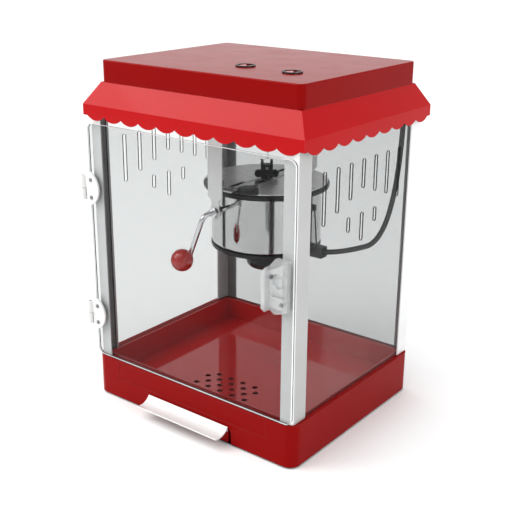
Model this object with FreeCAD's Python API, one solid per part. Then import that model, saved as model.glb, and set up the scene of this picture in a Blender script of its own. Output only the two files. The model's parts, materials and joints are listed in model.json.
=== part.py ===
import FreeCAD, Part
import os
from math import cos, radians, sin, tan

from FreeCAD import Vector

# Tabletop popcorn maker. Millimetres, +X to the right seen from the front, +Y to the back, +Z up.
# The cabinet's middle is the working zero. save() moves every node so that the middle of the
# whole object's outline stands at the frame's origin.

# ---- Driving sizes -------------------------------------------------------------------------
sheet = 1.2                     # painted steel sheet
seat_gap = 0.3                  # between pieces that lie on one another and can move apart
bearing_clearance = 0.05        # radial, round a turning pin
screw_shank = 1.2
screw_head = 2.4
screw_head_height = 1.0
screw_slot = 0.35               # half the slot's width
screw_bite = 3.0                # how far a screw goes into the door

roof_height = 430.0
base_width = 314.0
base_depth = 261.0
base_height = 55.0
base_corner = 14.0
foot_height = 2.0
foot_radius = 8.0
foot_inset = 22.0
mains_gland_x = 110.0
mains_gland_z = 30.0
mains_gland_radius = 5.1
base_opening_width = base_width - 22.0
base_opening_front = -base_depth / 2 + 11.5
base_opening_rear = base_depth / 2 - 8.5
floor_top = 26.0
hole_radius = 3.75
hole_step_x = 9.8
hole_step_y = 11.3
hole_rows = 7
hole_first_y = -36.0
emboss_width = base_width - 78.0
emboss_low = 29.0
emboss_high = base_height - 3.0
emboss_depth = 0.4

cabinet_width = base_width - 8.0
cabinet_front = -base_depth / 2 + 4.5
cabinet_rear = base_depth / 2 - 0.5
ceiling_top = roof_height - 52.0
post_width = 18.0
post_depth = 24.0
post_wall = 2.0
post_round = 5.0
panel_thickness = 2.0
slot_pitch = 26.2               # the side panels' upright ventilation slots
slot_middle_y = 5.3
slot_width = 5.4
slot_top = 334.4
slot_lows = (274.0, 283.0, 292.0, 300.5, 292.0, 283.0, 274.0)
# the three short slots below them: steps from the middle, low end, high end
lower_slots = ((-1.08, 254.7, 272.2), (0.0, 238.2, 272.2), (1.08, 254.7, 272.2))
gasket_width = 3.0

awning_width = cabinet_width + 16.7
awning_depth = base_depth + 0.9
awning_low = ceiling_top + 0.5
awning_middle_y = 3.0
cusp_height = ceiling_top - 12.5
scallop_drop = 5.2
scallops_front = 11
scallops_side = 9
scallop_flat = 7.0
cap_width = awning_width - 32.3
cap_depth = awning_depth - 29.0
cap_middle_y = 4.7
cap_low = roof_height - 25.9
cap_corner = 8.0

door_width = cabinet_width
door_low = base_height + 1.5
door_high = ceiling_top - 21.0
door_thickness = 4.0
door_back = cabinet_front - 1.0
door_corner = 8.0
hinge_x = -cabinet_width / 2 - 9.0
hinge_y = door_back - 6.0
hinge_heights = (112.0, 277.0)
hinge_knuckle_radius = 4.0
hinge_knuckle_half = 15.0
hinge_plate_half = 21.0
hinge_plate_right = -door_width / 2 + 17.0
hinge_plate_thickness = 2.5
hinge_pin_radius = 1.5
hinge_screw_spread = 11.0
hinge_screw_x = -door_width / 2 + 4.5
handle_right = door_width / 2 - 3.5
handle_left = handle_right - 28.0
handle_low = 188.0
handle_high = 251.0
handle_thickness = 6.0
handle_grip = 15.0
strike_low = 195.0
strike_high = 249.0

drawer_opening_top = 23.5
drawer_tray_width = 126.0
drawer_opening_half = drawer_tray_width / 2 + 4.0
drawer_tray_depth = 112.0
drawer_tray_low = 5.0
drawer_tray_high = 21.0
pull_width = drawer_tray_width + 1.5
pull_top = 25.0
pull_lip_y = -base_depth / 2 - 23.3
pull_lip_z = 18.5
pull_thickness = 1.5
rail_reach = 6.0                # how far the rail's lower flange lies under the tray
rail_sheet = 1.3

kettle_y = 23.0
kettle_radius = 69.0
kettle_wall = 1.2
kettle_low = 204.0
rim_top = 281.5
rim_low = 275.0
rim_radius = kettle_radius + 9.5
cover_low = 199.0
hub_radius = 25.0
hub_low = 167.5
pivot_z = 263.0
pivot_radius = 3.0
nut_radius = 7.0
latch_angle = 57.0              # round +Z from the front
lid_radius = kettle_radius + 7.0
lid_thickness = 1.2
bridge_half = 7.2
lid_edge = 8.8
lid_pin_x = 10.6
lid_pin_drop = 1.8
lid_pin_radius = 1.8
lid_tab_angles = (24.0, 20.0)
lid_tab_radius = 13.0
lid_tab_height = 7.0
lid_swing = 35.0                # degrees each lid half opens
slot_near = 29.0
slot_far = kettle_radius - 10.0
slot_outer = 14.0
kettle_tip = 95.0               # degrees the kettle tips to the left
plug_end = kettle_radius + 17.0
plug_z = 203.5

hanger_width = 21.0
hanger_thickness = 2.0
hanger_front_y = kettle_y - kettle_radius - 31.0
hanger_rear_y = kettle_y + kettle_radius + 25.0
hanger_shoulder = 281.0
hanger_tab = 11.0
crank_bend_y = kettle_y - kettle_radius - 51.0
crank_end = Vector(-19.0, crank_bend_y - 3.0, 212.0)
crank_bend_radius = 9.0
crank_radius = 3.0
crank_stem_radius = 2.2
ball_center = Vector(-24.0, crank_bend_y - 12.0, 206.5)
ball_radius = 13.5

shaft_radius = 2.5
coupling_low = 283.5
coupling_high = 306.7
coupling_turn = 38.0            # the wings' direction at rest, degrees round +Z from +X
wing_half = 15.0
wing_radius = 4.6
wing_middle = 6.1               # the wings' middle above the coupling's lower face
stirrer_reach = kettle_radius - 23.0
drive_rise = 51.4               # how far the drive shaft rises into its sleeve while the kettle tips
drive_flat = shaft_radius - 0.7  # the flat on the shaft and in the sleeve's bore, from the axis
sleeve_radius = shaft_radius + 2.0
gearbox_half = 24.0
gearbox_front = 16.0
gearbox_rear = 60.0
gearbox_height = 20.0
motor_offset = 38.0
motor_radius = 20.0

switch_spots = ((19.6, -44.5), (89.3, -51.1))
bezel_radius = 11.5
bezel_bore = 9.0
rocker_radius = 8.7
rocker_pin = 0.8

cable_radius = 3.2
cable_top_x = cabinet_width / 2 - 15.5
cable_top_y = base_depth / 2 - 17.5
cable_fillets = (16.0, 44.0)

lamp_x = -95.0
lamp_y = 20.0
lamp_radius = 9.0
lamp_holder_radius = 13.0

# ---- Sizes worked out from the ones above ---------------------------------------------------
half_cabinet = cabinet_width / 2
base_front = -base_depth / 2
base_rear = base_depth / 2
panel_face = half_cabinet - post_wall
rear_face = cabinet_rear - post_wall
ceiling_low = ceiling_top - sheet
door_front = door_back - door_thickness
lid_low = rim_top + seat_gap
lid_high = lid_low + lid_thickness
lid_pin_z = lid_low - lid_pin_drop
axis_top = Vector(0, kettle_y, 0)
rail_low = drawer_tray_low - 1.6
rail_inner = drawer_tray_width / 2 - rail_reach
hinge_screw_spots = tuple((hinge_screw_x, z + step) for z in hinge_heights
                          for step in (-hinge_screw_spread, hinge_screw_spread))
handle_screw_spots = ((handle_left + 7.5, handle_high - 21.0), (handle_right - 7.0, handle_low + 13.0))
rocker_pin_z = roof_height - 2.0
sleeve_top = roof_height - sheet - 1.3
shaft_top = sleeve_top - drive_rise - 0.5
tongue_top = coupling_high + 2.5
sleeve_low = tongue_top + drive_rise + 0.5
stirrer_low = kettle_low - 20.0
plug_start = kettle_radius + 0.5
plug_y = kettle_y + 4.0
cable_top = Vector(cable_top_x, cable_top_y, ceiling_top + 6.0)
cable_points = [Vector(plug_end - 8.0, plug_y, plug_z), Vector(plug_end + 14.0, plug_y, plug_z),
                Vector(cable_top_x, cable_top_y, plug_z + 6.0), cable_top]
outline_left = hinge_x - hinge_knuckle_radius
outline_right = awning_width / 2
outline_front = pull_lip_y
outline_rear = awning_middle_y + awning_depth / 2
outline_middle = Vector((outline_left + outline_right) / 2, (outline_front + outline_rear) / 2, 0)


# ---- Shapes used again and again ------------------------------------------------------------
def box(x0, x1, y0, y1, z0, z1):
    return Part.makeBox(x1 - x0, y1 - y0, z1 - z0, Vector(x0, y0, z0))


def rod(start, end, radius):
    along = end - start
    return Part.makeCylinder(radius, along.Length, start, along)


def disc(x, y, z0, z1, radius):
    return Part.makeCylinder(radius, z1 - z0, Vector(x, y, z0))


def ring(x, y, z0, z1, outer, inner):
    return disc(x, y, z0, z1, outer).cut(disc(x, y, z0 - 1, z1 + 1, inner))


def rounded_slab(width, y0, y1, z0, z1, radius):
    slab = box(-width / 2, width / 2, y0, y1, z0, z1)
    upright = [edge for edge in slab.Edges if abs(edge.tangentAt(edge.FirstParameter).z) > 0.99]
    return slab.makeFillet(radius, upright)


def face_xz(points, y):
    corners = [Vector(x, y, z) for x, z in points]
    return Part.Face(Part.makePolygon(corners + corners[:1]))


def plate_xz(points, y0, y1):
    return face_xz(points, y0).extrude(Vector(0, y1 - y0, 0))


def turned(profile, x, y):
    corners = [Vector(x + r, y, z) for r, z in profile]
    face = Part.Face(Part.makePolygon(corners + corners[:1]))
    return face.revolve(Vector(x, y, 0), Vector(0, 0, 1), 360)


def fused(pieces):
    whole = pieces[0]
    for piece in pieces[1:]:
        whole = whole.fuse(piece)
    return whole.removeSplitter()


def without(shape, cutters):
    for cutter in cutters:
        shape = shape.cut(cutter)
    return shape


def group(pieces):
    return Part.makeCompound(pieces)


def save(node, shape):
    moved = shape.copy()
    moved.translate(outline_middle * -1)
    moved.exportStep("parts/" + node + ".step")


def rounded_run(points, radii):
    """A path of straight runs whose inner corners are rounded."""
    edges = []
    here = points[0]
    for corner, following, radius in zip(points[1:-1], points[2:], radii):
        toward_here = (here - corner).normalize()
        toward_next = (following - corner).normalize()
        half_turn = radians(90) - toward_here.getAngle(toward_next) / 2
        back = radius * tan(half_turn)
        first = corner + toward_here * back
        second = corner + toward_next * back
        bisector = (toward_here + toward_next).normalize()
        middle = corner + bisector * (radius / cos(half_turn) - radius)
        edges.append(Part.LineSegment(here, first).toShape())
        edges.append(Part.Arc(first, middle, second).toShape())
        here = second
    edges.append(Part.LineSegment(here, points[-1]).toShape())
    return Part.Wire(edges)


def bent_rod(points, radii, radius):
    section = Part.Circle(points[0], points[1] - points[0], radius).toShape()
    return rounded_run(points, radii).makePipeShell([Part.Wire([section])], True, False)


def screw(x, y, z, depth):
    """A slotted pan-head screw through a piece whose outer face is the plane y."""
    shank = rod(Vector(x, y, z), Vector(x, y + depth, z), screw_shank)
    head = rod(Vector(x, y - screw_head_height, z), Vector(x, y, z), screw_head)
    slot = box(x - screw_head - 1, x + screw_head + 1, y - screw_head_height - 1,
               y - screw_head_height / 2, z - screw_slot, z + screw_slot)
    return fused([shank, head]).cut(slot)


def screw_hole(x, y, z, depth):
    return rod(Vector(x, y - 1, z), Vector(x, y + depth, z), screw_shank)


# ---- Base -----------------------------------------------------------------------------------
def base_housing():
    outer = rounded_slab(base_width, base_front, base_rear, foot_height, base_height, base_corner)
    hollow = rounded_slab(base_width - 2 * sheet, base_front + sheet, base_rear - sheet,
                          foot_height - 1, base_height - sheet, base_corner - sheet)
    opening = box(-base_opening_width / 2, base_opening_width / 2, base_opening_front,
                  base_opening_rear, base_height - 5, base_height + 5)
    mouth = box(-drawer_opening_half, drawer_opening_half, base_front - 5, base_front + 5,
                0, drawer_opening_top)
    mouth = mouth.makeFillet(8, [edge for edge in mouth.Edges
                                 if abs(edge.tangentAt(edge.FirstParameter).y) > 0.99
                                 and edge.CenterOfMass.z > drawer_opening_top - 1])
    dent = box(-emboss_width / 2, emboss_width / 2, base_front - 1, base_front + emboss_depth,
               emboss_low, emboss_high)
    gland_hole = mains_gland(base_rear - 5, base_rear + 5)
    return without(outer, [hollow, opening, mouth, dent, gland_hole])


def mains_gland(y0, y1):
    return rod(Vector(mains_gland_x, y0, mains_gland_z), Vector(mains_gland_x, y1, mains_gland_z),
               mains_gland_radius)


def pan_walls():
    half = base_opening_width / 2
    low = floor_top - sheet
    outer = box(-half, half, base_opening_front, base_opening_rear, low, base_height)
    inner = box(-half + sheet, half - sheet, base_opening_front + sheet,
                base_opening_rear - sheet, low - 1, base_height + 1)
    return outer.cut(inner)


def perforated_floor():
    half = base_opening_width / 2 - sheet
    plate = box(-half, half, base_opening_front + sheet, base_opening_rear - sheet,
                floor_top - sheet, floor_top)
    holes = []
    for row in range(hole_rows):
        y = hole_first_y - row * hole_step_y
        count = 4 if row % 2 == 0 else 5
        for place in range(count):
            x = (2 * place - count + 1) * hole_step_x
            holes.append(disc(x, y, floor_top - 5, floor_top + 5, hole_radius))
    return plate.cut(group(holes))


def rubber_feet():
    feet = []
    for x in (-base_width / 2 + foot_inset, base_width / 2 - foot_inset):
        for y in (base_front + foot_inset, base_rear - foot_inset):
            feet.append(disc(x, y, 0, floor_top - sheet, foot_radius))
    return group(feet)


def drawer_rail(side):
    outer = drawer_tray_width / 2 + 2.5
    web = outer - rail_sheet
    top = floor_top - sheet
    profile = [(rail_inner, rail_low), (outer, rail_low), (outer, top), (web, top),
               (web, rail_low + rail_sheet), (rail_inner, rail_low + rail_sheet)]
    return plate_xz([(side * x, z) for x, z in profile], base_front + 6, base_front + drawer_tray_depth + 12)


# ---- Drawer ---------------------------------------------------------------------------------
def drawer_tray():
    half = drawer_tray_width / 2
    front = base_front + sheet + 0.5
    tray = box(-half, half, front, front + drawer_tray_depth, drawer_tray_low, drawer_tray_high)
    inside = box(-half + sheet, half - sheet, front + sheet, front + drawer_tray_depth - sheet,
                 drawer_tray_low + sheet, drawer_tray_high + 1)
    face_plate = box(-half, half, base_front + 0.2, front, drawer_tray_low - 2, drawer_tray_high + 0.5)
    return fused([tray.cut(inside), face_plate])


def drawer_pull():
    left = -pull_width / 2
    back = base_front - seat_gap
    outside = [Vector(left, back - pull_thickness, pull_top), Vector(left, back - 7.5, pull_top - 5.8),
               Vector(left, pull_lip_y, pull_lip_z)]
    curve = Part.Circle(*outside)
    grow = (curve.Radius + pull_thickness) / curve.Radius
    inside = [curve.Center + (point - curve.Center) * grow for point in outside]
    wire = Part.Wire([Part.Arc(*outside).toShape(),
                      Part.LineSegment(outside[2], inside[2]).toShape(),
                      Part.Arc(inside[2], inside[1], inside[0]).toShape(),
                      Part.LineSegment(inside[0], outside[0]).toShape()])
    flare = Part.Face(wire).extrude(Vector(pull_width, 0, 0))
    half = drawer_tray_width / 2
    stem = box(-half, half, back - 5.2, base_front + 0.2, drawer_tray_high - 2.4, drawer_tray_high - 0.8)
    return fused([flare, stem])


# ---- Cabinet frame and panels ---------------------------------------------------------------
def post(side, front):
    outer_x = half_cabinet
    if front:
        y0, y1 = cabinet_front, cabinet_front + post_depth
        core = (y0 + post_wall, y1 + 1)
        corner_y = y0
    else:
        y0, y1 = cabinet_rear - post_depth, cabinet_rear
        core = (y0 - 1, y1 - post_wall)
        corner_y = y1
    full = box(outer_x - post_width, outer_x, y0, y1, base_height, ceiling_low)
    corner = [edge for edge in full.Edges
              if abs(edge.CenterOfMass.x - outer_x) < 0.01 and abs(edge.CenterOfMass.y - corner_y) < 0.01]
    full = full.makeFillet(post_round, corner)
    hollow = box(outer_x - post_width - 1, outer_x - post_wall, core[0], core[1],
                 base_height - 1, ceiling_low + 1)
    angle = full.cut(hollow)
    if side < 0:
        angle = angle.mirror(Vector(0, 0, 0), Vector(1, 0, 0))
    return angle


def slot_cutter(y, low, high):
    half = slot_width / 2
    reach = half_cabinet + 5
    straight = box(-reach, reach, y - half, y + half, low + half, high - half)
    ends = [rod(Vector(-reach, y, z), Vector(reach, y, z), half) for z in (low + half, high - half)]
    return fused([straight] + ends)


def side_panel(side):
    inner = panel_face - panel_thickness
    panel = box(min(side * inner, side * panel_face), max(side * inner, side * panel_face),
                cabinet_front + post_wall + 1, rear_face - panel_thickness - 0.5, base_height, ceiling_low)
    for place, low in enumerate(slot_lows):
        panel = panel.cut(slot_cutter(slot_middle_y + (place - 3) * slot_pitch, low, slot_top))
    for step, low, high in lower_slots:
        panel = panel.cut(slot_cutter(slot_middle_y + step * slot_pitch, low, high))
    return panel


def rear_panel():
    half = panel_face - 0.5
    return box(-half, half, rear_face - panel_thickness, rear_face, base_height, ceiling_low)


def gasket(side):
    inner = panel_face - panel_thickness - 2
    y0 = cabinet_front + post_depth - gasket_width
    x0, x1 = sorted((side * inner, side * (inner + 2)))
    return box(x0, x1, y0, y0 + gasket_width, base_height, ceiling_low)


def ceiling_plate():
    half = awning_width / 2 - sheet
    y0 = awning_middle_y - awning_depth / 2 + sheet
    y1 = awning_middle_y + awning_depth / 2 - sheet
    plate = box(-half, half, y0, y1, ceiling_low, ceiling_top)
    holes = [disc(0, kettle_y, ceiling_low - 1, ceiling_top + 1, sleeve_radius + 1.5),
             disc(cable_top_x, cable_top_y, ceiling_low - 1, ceiling_top + 1, cable_radius + 1.6),
             disc(lamp_x, lamp_y, ceiling_low - 1, ceiling_top + 1, lamp_radius + 2)]
    return without(plate, holes)


# ---- Roof -----------------------------------------------------------------------------------
def rectangle_wire(width, depth, middle_y, z):
    corners = [Vector(x * width / 2, middle_y + y * depth / 2, z)
               for x, y in ((-1, -1), (1, -1), (1, 1), (-1, 1), (-1, -1))]
    return Part.makePolygon(corners)


def slope(inset):
    return Part.makeLoft([rectangle_wire(awning_width - 2 * inset, awning_depth - 2 * inset,
                                         awning_middle_y, awning_low),
                          rectangle_wire(cap_width - 2 * inset, cap_depth - 2 * inset,
                                         cap_middle_y, cap_low)], True)


def scallop_face(length, count):
    pitch = (length - 2 * scallop_flat) / count
    start = Vector(-length / 2, 0, awning_low)
    corner = Vector(-length / 2, 0, cusp_height)
    first = Vector(-length / 2 + scallop_flat, 0, cusp_height)
    edges = [Part.LineSegment(start, corner).toShape(), Part.LineSegment(corner, first).toShape()]
    here = first
    for place in range(count):
        there = here + Vector(pitch, 0, 0)
        low = (here + there) * 0.5 - Vector(0, 0, scallop_drop)
        edges.append(Part.Arc(here, low, there).toShape())
        here = there
    last = Vector(length / 2, 0, cusp_height)
    top = Vector(length / 2, 0, awning_low)
    edges.append(Part.LineSegment(here, last).toShape())
    edges.append(Part.LineSegment(last, top).toShape())
    edges.append(Part.LineSegment(top, start).toShape())
    return Part.Face(Part.Wire(edges))


def valance(length, count, turn, offset):
    plate = scallop_face(length, count).extrude(Vector(0, sheet, 0))
    plate.rotate(Vector(0, 0, 0), Vector(0, 0, 1), turn)
    plate.translate(offset)
    return plate


def awning():
    shell = slope(0).cut(slope(sheet))
    front = awning_middle_y - awning_depth / 2
    rear = awning_middle_y + awning_depth / 2
    sides = [valance(awning_width, scallops_front, 0, Vector(0, front, 0)),
             valance(awning_width, scallops_front, 180, Vector(0, rear, 0)),
             valance(awning_depth, scallops_side, 90, Vector(awning_width / 2, awning_middle_y, 0)),
             valance(awning_depth, scallops_side, 270, Vector(-awning_width / 2, awning_middle_y, 0))]
    return fused([shell] + sides)


def roof_cap():
    y0 = cap_middle_y - cap_depth / 2
    y1 = cap_middle_y + cap_depth / 2
    outer = rounded_slab(cap_width, y0, y1, cap_low, roof_height, cap_corner)
    top_edges = [edge for edge in outer.Edges if edge.BoundBox.ZMin > roof_height - 0.01]
    outer = outer.makeFillet(1.5, top_edges)
    hollow = rounded_slab(cap_width - 2 * sheet, y0 + sheet, y1 - sheet, cap_low - 1,
                          roof_height - sheet, cap_corner - sheet)
    holes = [disc(x, y, roof_height - 5, roof_height + 5, bezel_bore + 1) for x, y in switch_spots]
    return without(outer, [hollow] + holes)


def bezel(x, y):
    flange = ring(x, y, roof_height, roof_height + 1.5, bezel_radius, bezel_bore)
    barrel = ring(x, y, roof_height - 12, roof_height, bezel_bore + 0.9, bezel_bore)
    back = disc(x, y, roof_height - 13.2, roof_height - 12, bezel_bore + 0.9)
    terminals = [box(x + step - 0.4, x + step + 0.4, y - 2.4, y + 2.4, roof_height - 20, roof_height - 13.2)
                 for step in (-4, 4)]
    reach = bezel_bore + 0.4
    pin = rod(Vector(x, y - reach, rocker_pin_z), Vector(x, y + reach, rocker_pin_z),
              rocker_pin - bearing_clearance)
    return fused([flange, barrel, back, pin] + terminals)


def rocker(x, y):
    body = disc(x, y, roof_height - 4, roof_height + 0.9, rocker_radius)
    dish = rod(Vector(x, y - 20, roof_height + 25.0), Vector(x, y + 20, roof_height + 25.0), 24.6)
    pin_hole = rod(Vector(x, y - 10, rocker_pin_z), Vector(x, y + 10, rocker_pin_z), rocker_pin)
    return without(body, [dish, pin_hole])


# ---- Door -----------------------------------------------------------------------------------
def door_panel():
    half = door_width / 2
    sheet_door = box(-half, half, door_front, door_back, door_low, door_high)
    corners = [edge for edge in sheet_door.Edges if abs(edge.tangentAt(edge.FirstParameter).y) > 0.99]
    holes = [screw_hole(x, door_front, z, screw_bite) for x, z in hinge_screw_spots + handle_screw_spots]
    return without(sheet_door.makeFillet(door_corner, corners), holes)


def door_leaf(z):
    plate_back = door_front
    plate_front = door_front - hinge_plate_thickness
    left = hinge_x + hinge_knuckle_radius + 1.2
    reach = hinge_plate_right - left
    top = Vector(left, plate_front, z + hinge_plate_half)
    low = Vector(left, plate_front, z - hinge_plate_half)
    shoulder = reach * 0.3
    top_in = top + Vector(shoulder, 0, 0)
    low_in = low + Vector(shoulder, 0, 0)
    outline = Part.Wire([Part.LineSegment(top, top_in).toShape(),
                         Part.Arc(top_in, Vector(left + reach, plate_front, z), low_in).toShape(),
                         Part.LineSegment(low_in, low).toShape(),
                         Part.LineSegment(low, top).toShape()])
    plate = Part.Face(outline).extrude(Vector(0, plate_back - plate_front, 0))
    knuckle = disc(hinge_x, hinge_y, z + seat_gap / 2, z + hinge_knuckle_half, hinge_knuckle_radius)
    arm = box(hinge_x, left + 1, plate_front, plate_back, z + seat_gap / 2, z + hinge_knuckle_half)
    bore = disc(hinge_x, hinge_y, z - 30, z + 30, hinge_pin_radius + bearing_clearance)
    holes = [screw_hole(x, plate_front, spot_z, hinge_plate_thickness + 1) for x, spot_z in hinge_screw_spots]
    return without(fused([plate, knuckle, arm]), [bore] + holes)


def fixed_leaf(z):
    knuckle = disc(hinge_x, hinge_y, z - hinge_knuckle_half, z - seat_gap / 2, hinge_knuckle_radius)
    flap = box(-half_cabinet - 2.5, -half_cabinet, cabinet_front + 6, cabinet_front + post_depth,
               z - hinge_knuckle_half, z + hinge_knuckle_half)
    web_points = [Vector(hinge_x - 3, hinge_y + 2.4, 0), Vector(hinge_x + 1, hinge_y + 1, 0),
                  Vector(-half_cabinet - 0.3, cabinet_front + 6, 0),
                  Vector(-half_cabinet - 0.3, cabinet_front + 10, 0),
                  Vector(-half_cabinet - 2.5, cabinet_front + 10, 0)]
    web = Part.Face(Part.makePolygon(web_points + web_points[:1]))
    web = web.extrude(Vector(0, 0, hinge_knuckle_half - seat_gap / 2))
    web.translate(Vector(0, 0, z - hinge_knuckle_half))
    bore = disc(hinge_x, hinge_y, z - 30, z + 30, hinge_pin_radius)
    return fused([knuckle, flap, web]).cut(bore)


def hinge_pin(z):
    return disc(hinge_x, hinge_y, z - hinge_knuckle_half, z + hinge_knuckle_half, hinge_pin_radius)


def door_handle():
    front = door_front - handle_thickness
    lip = door_front - handle_grip
    cut = 12.0
    outline = [(handle_left, handle_low + cut * 0.6), (handle_left + cut, handle_low),
               (handle_right, handle_low + 5), (handle_right, handle_high - 2),
               (handle_left + cut, handle_high), (handle_left, handle_high - cut * 1.2)]
    plate = plate_xz(outline, front, door_front)
    grip_outline = [(handle_left, handle_low + cut * 0.6), (handle_left + 5, handle_low + cut * 0.35),
                    (handle_left + 5, handle_high - cut * 0.7), (handle_left, handle_high - cut * 1.2)]
    grip = plate_xz(grip_outline, lip, front)
    dish = rod(Vector(handle_right - 11, lip - 6, handle_low + 38),
               Vector(handle_right - 11, front + 2.5, handle_low + 38), 8)
    groove = box(handle_left + 8, handle_right - 4, front - 1, front + 2.5, handle_low + 20, handle_low + 24)
    holes = [screw_hole(x, front, z, handle_thickness + 1) for x, z in handle_screw_spots]
    return without(fused([plate, grip]), [dish, groove] + holes)


# ---- Kettle ---------------------------------------------------------------------------------
def kettle_pot():
    inner = kettle_radius - kettle_wall
    low_in = kettle_low + kettle_wall
    profile = [(0, kettle_low), (kettle_radius - 1.5, kettle_low), (kettle_radius, kettle_low + 1.5),
               (kettle_radius, rim_top), (inner, rim_top), (inner, low_in), (0, low_in)]
    pot = turned(profile, 0, kettle_y)
    bore = disc(0, kettle_y, kettle_low - 5, kettle_low + 5, shaft_radius + bearing_clearance)
    return pot.cut(bore)


def rim_collar():
    inner = kettle_radius
    profile = [(inner, rim_low), (rim_radius - 1, rim_low), (rim_radius, rim_low + 1),
               (rim_radius, rim_top - 1), (rim_radius - 1, rim_top), (inner, rim_top)]
    return turned(profile, 0, kettle_y)


def bottom_cover():
    wall = 2.0
    outer = kettle_radius + 0.5
    corner = 9.0
    steps = 6
    nose = [(hub_radius - corner + corner * cos(radians(90 * i / steps)),
             hub_low + corner - corner * sin(radians(90 * i / steps))) for i in range(steps + 1)]
    profile = ([(outer, kettle_low), (outer, cover_low + 1), (outer - 1, cover_low), (hub_radius, cover_low)]
               + nose + [(0, hub_low), (0, hub_low + wall), (hub_radius - corner, hub_low + wall),
                         (hub_radius - wall, hub_low + corner), (hub_radius - wall, cover_low + wall),
                         (outer - wall, cover_low + wall), (outer - wall, kettle_low)])
    return turned(profile, 0, kettle_y)


def heater_plate():
    return ring(0, kettle_y, kettle_low - 2.4, kettle_low, kettle_radius - 8, hub_radius + 3)


def hub_bearing():
    return ring(0, kettle_y, kettle_low - 22, kettle_low, 7.0, shaft_radius + bearing_clearance)


def ball_stem():
    outward = (ball_center - crank_end).normalize()
    return rod(crank_end, ball_center - outward * 5, crank_stem_radius)


def crank_rod():
    start = Vector(0, kettle_y - kettle_radius, pivot_z)
    bend = Vector(0, crank_bend_y, pivot_z)
    arm = bent_rod([start, bend, crank_end], [crank_bend_radius], crank_radius)
    whole = fused([arm, ball_stem()])
    return whole.cut(crank_ball())


def crank_ball():
    ball = Part.makeSphere(ball_radius, ball_center, ball_center - crank_end)
    return ball.cut(ball_stem())


def rear_pivot():
    start = Vector(0, kettle_y + kettle_radius, pivot_z)
    end = Vector(0, hanger_rear_y + hanger_thickness + 3, pivot_z)
    return rod(start, end, pivot_radius)


def pivot_nut(y0, y1):
    corners = [Vector(nut_radius * cos(radians(60 * i)), y0, pivot_z + nut_radius * sin(radians(60 * i)))
               for i in range(7)]
    nut = Part.Face(Part.makePolygon(corners)).extrude(Vector(0, y1 - y0, 0))
    return nut.cut(rod(Vector(0, y0 - 5, pivot_z), Vector(0, y1 + 5, pivot_z), pivot_radius))


def hanger(y):
    wide = hanger_width / 2
    narrow = hanger_tab / 2
    outline = [(-wide, ceiling_low), (-wide, hanger_shoulder), (-narrow, hanger_shoulder - 5),
               (-narrow, pivot_z - 8), (narrow, pivot_z - 8), (narrow, hanger_shoulder - 5),
               (wide, hanger_shoulder), (wide, ceiling_low)]
    plate = plate_xz(outline, y, y + hanger_thickness)
    inward = -1 if y > 0 else 1
    y0, y1 = sorted((y + hanger_thickness / 2, y + hanger_thickness / 2 + inward * 14))
    foot = box(-wide, wide, y0, y1, ceiling_low - 2, ceiling_low)
    bore = rod(Vector(0, y - 5, pivot_z), Vector(0, y + 8, pivot_z), pivot_radius + bearing_clearance)
    return fused([plate, foot]).cut(bore)


def lid_pin(side):
    return rod(Vector(side * lid_pin_x, kettle_y - slot_far, lid_pin_z),
               Vector(side * lid_pin_x, kettle_y + slot_far, lid_pin_z), lid_pin_radius)


def lid_bridge():
    reach = rim_radius - 1.5
    strip = box(-bridge_half, bridge_half, kettle_y - reach, kettle_y + reach, rim_top, lid_high)
    strip = strip.common(disc(0, kettle_y, rim_top - 1, lid_high + 1, reach))
    lugs = []
    for sign in (-1, 1):
        for side in (-1, 1):
            for start in (slot_near + 0.6, slot_far - 3.6):
                y0, y1 = sorted((kettle_y + sign * start, kettle_y + sign * (start + 3)))
                x0, x1 = sorted((side * 5.0, side * (lid_pin_x + lid_pin_radius + 1)))
                lugs.append(box(x0, x1, y0, y1, lid_pin_z - lid_pin_radius - 1, rim_top + 0.5))
    whole = fused([strip] + lugs)
    bore = disc(0, kettle_y, lid_low - 5, lid_high + 5, shaft_radius + bearing_clearance)
    return without(whole, [bore, lid_pin(-1), lid_pin(1)])


def half_lid(side):
    plate = disc(0, kettle_y, lid_low, lid_high, lid_radius)
    plate = plate.common(box(lid_edge, lid_radius, kettle_y - lid_radius, kettle_y + lid_radius,
                             lid_low - 1, lid_high + 1))
    windows = [box(0, slot_outer, *sorted((kettle_y + sign * slot_near, kettle_y + sign * slot_far)),
                   lid_low - 1, lid_high + 1) for sign in (-1, 1)]
    over_rim = [box(0, lid_pin_x + 1.5, *sorted((kettle_y + sign * (kettle_radius - 3),
                                                 kettle_y + sign * (lid_radius + 1))),
                    lid_low - 1, lid_high + 1) for sign in (-1, 1)]
    plate = without(plate, windows + over_rim)
    knuckle_radius = lid_pin_radius + 0.7
    barrel = rod(Vector(lid_pin_x, kettle_y - slot_near + 1, lid_pin_z),
                 Vector(lid_pin_x, kettle_y + slot_near - 1, lid_pin_z), knuckle_radius)
    neck = box(lid_pin_x - 1.2, lid_pin_x + 1.8, kettle_y - slot_near + 1, kettle_y + slot_near - 1,
               lid_pin_z, lid_low)
    bore = rod(Vector(lid_pin_x, kettle_y - 80, lid_pin_z), Vector(lid_pin_x, kettle_y + 80, lid_pin_z),
               lid_pin_radius + bearing_clearance)
    lid = fused([plate, barrel, neck]).cut(bore)
    if side < 0:
        lid = lid.mirror(Vector(0, 0, 0), Vector(1, 0, 0))
    return lid


def lid_tab(side, middle_angle):
    middle = radians(middle_angle)
    toward = Vector(side * sin(middle), -cos(middle), 0)
    center = axis_top + toward * (lid_radius - 2)
    top = lid_high + lid_tab_height
    knob = disc(center.x, center.y, lid_high, top, lid_tab_radius)
    knob = knob.makeFillet(3, [edge for edge in knob.Edges if edge.BoundBox.ZMin > top - 0.1])
    return knob.common(disc(0, kettle_y, lid_high - 1, top + 1, rim_radius + 1))


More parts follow.
